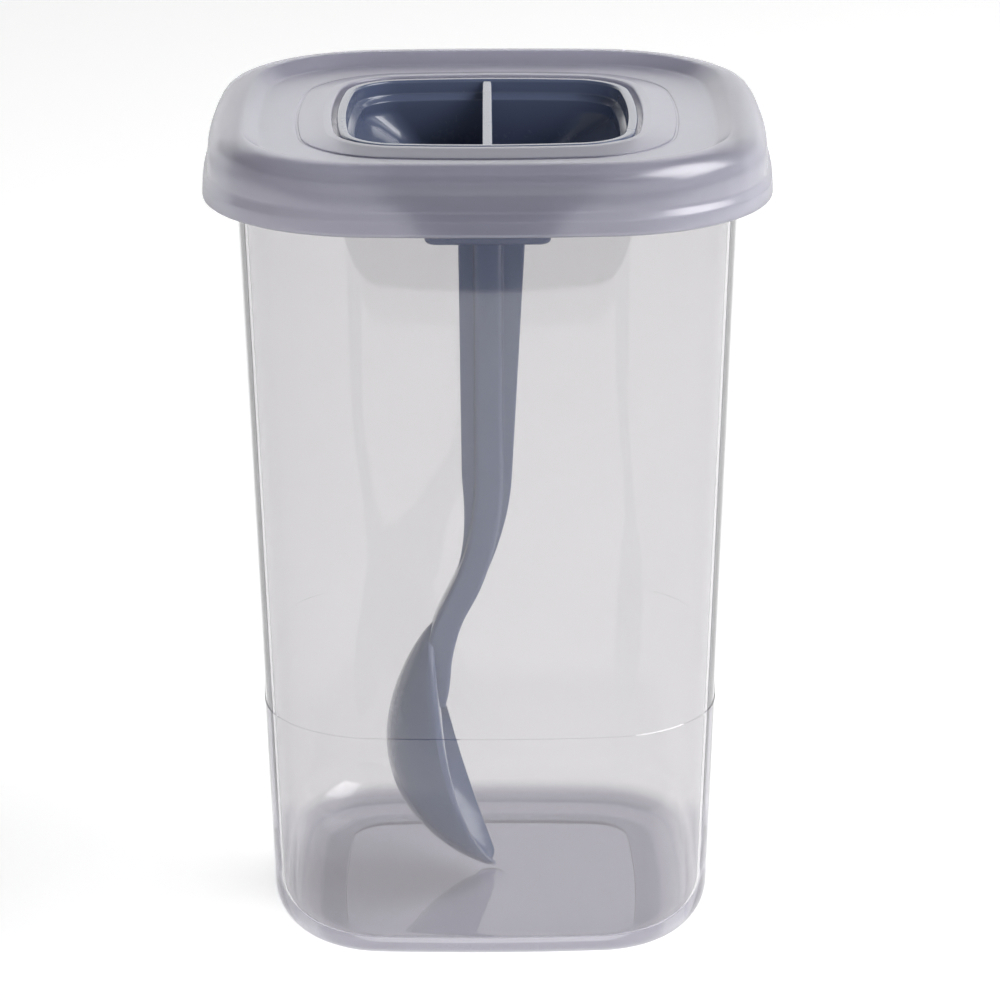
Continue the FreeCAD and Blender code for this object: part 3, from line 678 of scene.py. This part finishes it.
class Sock:
    # a shader socket that takes part in sums
    def __init__(self, tree, out):
        self.tree = tree
        self.out = out

    def add(self, kind, inputs, out=0, **settings):
        # makes any node, wires or sets its inputs, and hands back one output
        node = self.tree.nodes.new(kind)
        for key, value in settings.items():
            setattr(node, key, value)
        for key, value in inputs.items():
            if isinstance(value, Sock):
                self.tree.links.new(value.out, node.inputs[key])
            else:
                node.inputs[key].default_value = value
        return Sock(self.tree, node.outputs[out])

    def sum(self, kind, a, b):
        return self.add("ShaderNodeMath", {0: a, 1: b}, operation=kind)

    def __add__(self, other):
        return self.sum("ADD", self, other)

    def __radd__(self, other):
        return self.sum("ADD", other, self)

    def __sub__(self, other):
        return self.sum("SUBTRACT", self, other)

    def __rsub__(self, other):
        return self.sum("SUBTRACT", other, self)

    def __mul__(self, other):
        return self.sum("MULTIPLY", self, other)

    def __rmul__(self, other):
        return self.sum("MULTIPLY", other, self)


def material(name, fixed):
    # fixed holds the shader's values that are the same all over
    made = bpy.data.materials.new(name)
    made.use_nodes = True
    tree = made.node_tree
    shader = tree.nodes["Principled BSDF"]
    for key, value in fixed.items():
        shader.inputs[key].default_value = value
    place = Sock(tree, tree.nodes.new("ShaderNodeTexCoord").outputs["Object"])
    return made, shader, place


def wire(shader, key, value):
    shader.id_data.links.new(value.out, shader.inputs[key])


def noise(place, scale, detail=3.0):
    return place.add("ShaderNodeTexNoise", {"Vector": place, "Scale": scale, "Detail": detail}, out="Fac")


def tint(place, factor, dark, light):
    ends = [c if isinstance(c, Sock) else (*c, 1) for c in (dark, light)]
    return place.add("ShaderNodeMix", {"Factor": factor, 6: ends[0], 7: ends[1]}, out=2, data_type="RGBA")


def axis(place, letter):
    return place.add("ShaderNodeSeparateXYZ", {"Vector": place}, out=letter)


def ramp(value, start, end, first, last):
    # runs from first to last while the value runs from start to end
    return value.add("ShaderNodeMapRange", {"Value": value, 1: start, 2: end, 3: first, 4: last})


clear = {
    "wall": ((0.765, 0.757, 0.764), (0.785, 0.777, 0.784)),
    # base plate darker: partly painted shade of the floor beneath, partly the plastic's own tint
    "base": (0.32, 0.31, 0.36),
    "gate": (0.24, 0.23, 0.30),
    "ring": (0.17, 0.16, 0.21),     # the band that touches the table, darkened as painted contact shade
    "baseFade": (2.4, 4.2),         # heights in mm between which each tint comes or goes
    "contactShadeFade": (0.02, 0.12),
    "gateRise": (0.95, 1.05),
    "gateFade": (1.15, 1.4),
    "haze": 60.0,
    "roughness": (0.02, 0.03),      # least, and what the haze adds
    "depth": (0.40, 0.38, 0.48),    # tint that builds up inside the plastic
    "density": 28.0,
    "fixed": {"Transmission Weight": 0.98, "IOR": 1.03, "Coat Roughness": 0.03, "Coat IOR": 1.75},
}


def clearPlastic(c):
    made, shader, place = material("clearPlastic", c["fixed"])
    haze = noise(place, c["haze"])
    low = axis(place, "Z")

    def zone(key, first, last):
        return ramp(low, c[key][0] * mm, c[key][1] * mm, first, last)

    body = tint(place, haze, *c["wall"])
    # painted shade on the base plate, with some of the plastic's own tint
    body = tint(place, zone("baseFade", 1.0, 0.0), body, c["base"])
    body = tint(place, zone("gateRise", 0.0, 1.0) * zone("gateFade", 1.0, 0.0), body, c["gate"])
    # painted contact shade on the standing ring, where it touches the table
    wire(shader, "Base Color", tint(place, zone("contactShadeFade", 1.0, 0.0), body, c["ring"]))
    wire(shader, "Roughness", c["roughness"][0] + haze * c["roughness"][1])
    facing = place.add("ShaderNodeNewGeometry", {}, out="Backfacing")
    wire(shader, "Coat Weight", 1 - facing)    # gloss towards the air only
    depth = place.add("ShaderNodeVolumeAbsorption", {"Color": (*c["depth"], 1), "Density": c["density"]})
    made.node_tree.links.new(depth.out, made.node_tree.nodes["Material Output"].inputs["Volume"])
    return made


frosted = {
    "outside": ((0.39, 0.385, 0.485), (0.43, 0.425, 0.525)),
    "inside": (0.86, 0.86, 0.90),
    "cloud": 45.0,
    "grain": 900.0,
    "roughness": (0.62, 0.08),      # least, and what the grain adds
    "insideSmooth": 0.75,           # how much smoother and thinner the hidden faces are
    "insideThin": 0.55,
    "fixed": {"Transmission Weight": 0.62, "IOR": 1.12,
              "Coat Weight": 1.0, "Coat Roughness": 0.24, "Coat IOR": 1.75},
}


def frostedPlastic(c):
    made, shader, place = material("frostedPlastic", c["fixed"])
    grain = noise(place, c["grain"])
    inside = place.add("ShaderNodeAttribute", {}, out="Fac", attribute_name="inside")
    outside = tint(place, noise(place, c["cloud"]), *c["outside"])
    wire(shader, "Base Color", tint(place, inside, outside, c["inside"]))
    rough = c["roughness"][0] + grain * c["roughness"][1]
    wire(shader, "Roughness", rough * (1 - inside * c["insideSmooth"]))
    wire(shader, "Alpha", 1 - inside * c["insideThin"])
    return made


slate = {
    "colour": ((0.086, 0.108, 0.182), (0.097, 0.121, 0.202)),
    "cloud": 50.0,
    "grain": 1200.0,
    "roughness": (0.22, 0.06, 0.03),    # least, and what cloud and grain add
    "fixed": {"Specular IOR Level": 0.25, "Coat Weight": 0.9, "Coat Roughness": 0.08},
}


def slatePlastic(c):
    made, shader, place = material("slatePlastic", c["fixed"])
    cloud = noise(place, c["cloud"])
    grain = noise(place, c["grain"])
    least, cloudy, grainy = c["roughness"]
    wire(shader, "Base Color", tint(place, cloud, *c["colour"]))
    wire(shader, "Roughness", least + cloud * cloudy + grain * grainy)
    return made


containerShell.data.materials.append(clearPlastic(clear))
lidShell.data.materials.append(frostedPlastic(frosted))
slateMade = slatePlastic(slate)
for piece in (stopperGrip, spoonScoop):
    piece.data.materials.append(slateMade)
print("materials made")

# Stage

stage = {
    "floorSize": 6.0,
    "floorDrop": 0.00015,    # keeps the floor clear of the standing ring
    "tableEdge": 0.335,      # the floor ends this far in front of the box
    "backdropAway": 1.6,
    "backdropHeight": 1.3,
    "paper": ((0.80, 0.80, 0.80), (0.82, 0.82, 0.82)),
    "paperCloud": 3.0,
    "paperFixed": {"Emission Strength": 1.0, "Roughness": 0.8, "Specular IOR Level": 0.0},
    "floorLift": 0.58,       # what the floor gives back to white where it is looked at
    "backdropLift": 0.80,
    "horizon": 0.65,         # the room is pale all round, more so on the right, and dark overhead
    "zenith": 0.04,
    "skyFade": (0.25, 0.75),
    "groundFade": (-0.03, 0.0),
    "skySides": (0.75, 0.25),
    "aim": (0, 0, 0.06),     # what the lamps point at
    "key": {"spot": (0.64, -0.04, 0.80), "size": (0.70, 0.60), "power": 8.0},
    "front": {"spot": (0.10, -1.00, 0.20), "size": (0.45, 0.30), "power": 4.5},
}


def lookedAt(tree):
    # 1 for rays from the camera and for what is seen in gloss and through clear plastic
    path = tree.nodes.new("ShaderNodeLightPath")
    seen = Sock(tree, path.outputs["Is Camera Ray"])
    for kind in ("Is Glossy Ray", "Is Transmission Ray"):
        seen = seen.sum("MAXIMUM", seen, Sock(tree, path.outputs[kind]))
    return seen


def paleSheet(name, spot, size, lean, lift):
    bpy.ops.mesh.primitive_plane_add(size=1, location=spot, rotation=(lean, 0, 0))
    sheet = bpy.context.object
    sheet.name = name
    sheet.scale = (size[0], size[1], 1)
    made, shader, place = material(name + "Paper", stage["paperFixed"])
    wire(shader, "Base Color", tint(place, noise(place, stage["paperCloud"]), *stage["paper"]))
    wire(shader, "Emission Color", tint(place, lookedAt(made.node_tree), (0, 0, 0), (lift,) * 3))
    sheet.data.materials.append(made)


def buildRoom(c):
    floorDeep = c["tableEdge"] + c["backdropAway"]
    paleSheet("floor", (0, floorDeep / 2 - c["tableEdge"], -c["floorDrop"]),
              (c["floorSize"], floorDeep), 0, c["floorLift"])
    paleSheet("backdrop", (0, c["backdropAway"], c["backdropHeight"] / 2),
              (c["floorSize"], c["backdropHeight"]), math.pi / 2, c["backdropLift"])
    world = bpy.data.worlds.new("studio")
    bpy.context.scene.world = world
    world.use_nodes = True
    sky = world.node_tree
    way = Sock(sky, sky.nodes.new("ShaderNodeTexCoord").outputs["Generated"])
    high = axis(way, "Z")
    band = ramp(high, *c["skyFade"], 1.0, 0.0) * ramp(high, *c["groundFade"], 0.0, 1.0)
    sides = c["skySides"][0] + axis(way, "X") * c["skySides"][1]
    glow = tint(way, band * sides, (c["zenith"],) * 3, (c["horizon"],) * 3)
    sky.links.new(glow.out, sky.nodes["Background"].inputs["Color"])


def softbox(name, c):
    lamp = bpy.data.lights.new(name, "AREA")
    lamp.shape = "RECTANGLE"
    lamp.size, lamp.size_y = c["size"]
    lamp.energy = c["power"]
    holder = bpy.data.objects.new(name, lamp)
    holder.location = c["spot"]
    towards = Vector(stage["aim"]) - Vector(c["spot"])
    holder.rotation_euler = towards.to_track_quat("-Z", "Y").to_euler()
    bpy.context.scene.collection.objects.link(holder)
    return holder


buildRoom(stage)
softbox("keyBox", stage["key"])
fill = softbox("frontBox", stage["front"])
fill.visible_glossy = False
fill.visible_transmission = False
print("lamps placed")

# Camera, fitted to the photo's view

view = {
    "spot": (0, -0.6177, 0.2672),
    "down": 18.35,        # degrees, as the next two
    "aside": -0.1526,     # turn to the right
    "roll": -0.23,
    "lens": 155.4,
    "sensor": 36.0,
}
lens = bpy.data.cameras.new("photoView")
lens.lens = view["lens"]
lens.sensor_width = view["sensor"]
eye = bpy.data.objects.new("photoView", lens)
bpy.context.scene.collection.objects.link(eye)
aim = Matrix.Rotation(math.radians(view["aside"]), 4, "Z")
aim = aim @ Matrix.Rotation(math.radians(90 - view["down"]), 4, "X")
aim = aim @ Matrix.Rotation(math.radians(view["roll"]), 4, "Z")
eye.matrix_world = Matrix.Translation(view["spot"]) @ aim
bpy.context.scene.camera = eye
bpy.context.scene.view_settings.view_transform = "Standard"
print("camera set")
